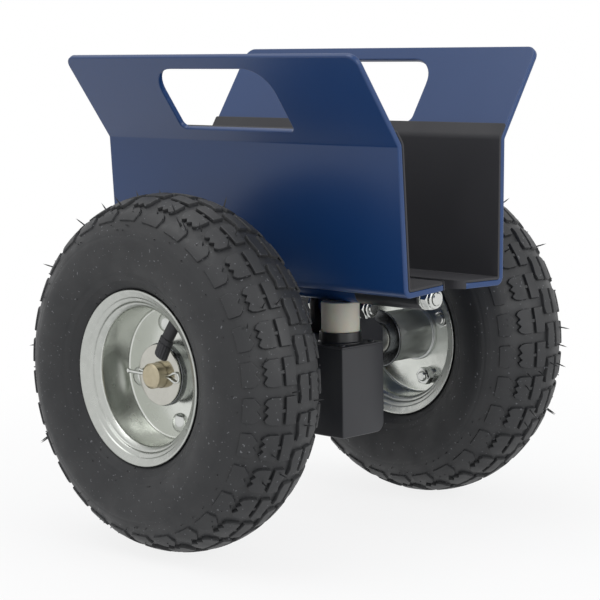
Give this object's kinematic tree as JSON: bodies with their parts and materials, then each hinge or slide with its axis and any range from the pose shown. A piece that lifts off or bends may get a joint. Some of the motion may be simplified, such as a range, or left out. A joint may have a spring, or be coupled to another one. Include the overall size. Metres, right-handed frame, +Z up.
{
  "type": "slab dolly",
  "caption": "Two-wheel slab dolly with rubber-lined, flared steel jaws that tilt shut on a slab when its weight presses the load bar down.",
  "frame": {"origin": "on the floor, midway between the wheels and midway along the jaws", "axes": "+X along the jaws, the way the dolly rolls; +Y along the axle towards the far wheel; +Z up"},
  "size_m": [0.319, 0.3724, 0.3737],
  "materials": {
    "blue_powder_coat": "satin royal blue powder coat",
    "lining_rubber": "matte black sheet rubber",
    "tyre_rubber": "moulded black tyre rubber",
    "tube_rubber": "black butyl rubber",
    "zinc_plate": "bright zinc plated pressed steel",
    "black_paint": "satin black paint",
    "nylon": "natural cream nylon",
    "plain_steel": "machined bright steel",
    "bearing_bronze": "sintered bronze"
  },
  "bodies": {
    "chassis": {"housing_shell": "black_paint", "housing_lid": "black_paint", "lid_screws": "zinc_plate", "guide_collars": "black_paint", "plunger_springs": "plain_steel", "axle": "plain_steel", "near_axle_sleeve": "black_paint", "far_axle_sleeve": "black_paint", "near_pivot_brackets": "black_paint", "far_pivot_brackets": "black_paint", "stop_plates": "black_paint", "pivot_bolts": "zinc_plate", "pivot_washers": "zinc_plate", "pivot_nuts": "zinc_plate", "axle_washers": "zinc_plate", "cotter_pins": "zinc_plate", "bearing_inner_rings": "plain_steel"},
    "load_bar": {"load_tube": "blue_powder_coat", "load_bar_sleeves": "black_paint", "load_bar_rod": "zinc_plate", "load_bar_washers": "zinc_plate", "load_bar_nuts": "zinc_plate", "nylon_plungers": "nylon", "plunger_studs": "plain_steel"},
    "near_jaw": {"near_jaw_plate": "blue_powder_coat", "near_jaw_lining": "lining_rubber", "near_pivot_lug": "blue_powder_coat", "near_pivot_bush": "bearing_bronze"},
    "near_wheel": {"near_tyre": "tyre_rubber", "near_inner_tube": "tube_rubber", "near_rim_outer": "zinc_plate", "near_rim_inner": "zinc_plate", "near_hub": "zinc_plate", "near_bearing_outer_rings": "zinc_plate", "near_bearing_balls": "plain_steel", "near_rim_bolts": "zinc_plate", "near_rim_nuts": "zinc_plate", "near_rim_lock_washers": "zinc_plate", "near_valve_stem": "tube_rubber", "near_valve_cap": "tube_rubber"},
    "far_jaw": {"far_jaw_plate": "blue_powder_coat", "far_jaw_lining": "lining_rubber", "far_pivot_lug": "blue_powder_coat", "far_pivot_bush": "bearing_bronze"},
    "far_wheel": {"far_tyre": "tyre_rubber", "far_inner_tube": "tube_rubber", "far_rim_outer": "zinc_plate", "far_rim_inner": "zinc_plate", "far_hub": "zinc_plate", "far_bearing_outer_rings": "zinc_plate", "far_bearing_balls": "plain_steel", "far_rim_bolts": "zinc_plate", "far_rim_nuts": "zinc_plate", "far_rim_lock_washers": "zinc_plate", "far_valve_stem": "tube_rubber", "far_valve_cap": "tube_rubber"}
  },
  "joints": [
    {"name": "near_jaw_tilt", "type": "hinge", "parent": "chassis", "child": "near_jaw", "pos_m": [0, -0.045, 0.167], "axis": [-1, 0, 0], "range_deg": [0, 11]},
    {"name": "far_jaw_tilt", "type": "hinge", "parent": "chassis", "child": "far_jaw", "pos_m": [0, 0.045, 0.167], "axis": [1, 0, 0], "range_deg": [0, 11]},
    {"name": "load_bar_press", "type": "slide", "parent": "chassis", "child": "load_bar", "axis": [0, 0, -1], "range_m": [0, 0.012], "stiffness_N_per_m": 5000, "springref_m": -0.012, "deforming": ["plunger_springs"]},
    {"name": "near_wheel_roll", "type": "hinge", "parent": "chassis", "child": "near_wheel", "pos_m": [0, -0.1405, 0.135], "axis": [0, 1, 0], "continuous": true},
    {"name": "far_wheel_roll", "type": "hinge", "parent": "chassis", "child": "far_wheel", "pos_m": [0, 0.1405, 0.135], "axis": [0, 1, 0], "continuous": true}
  ],
  "couplings": [
    {"joint": "far_jaw_tilt", "follows": "near_jaw_tilt", "ratio": 1},
    {"joint": "load_bar_press", "follows": "near_jaw_tilt", "m_per_rad": 0.062}
  ]
}
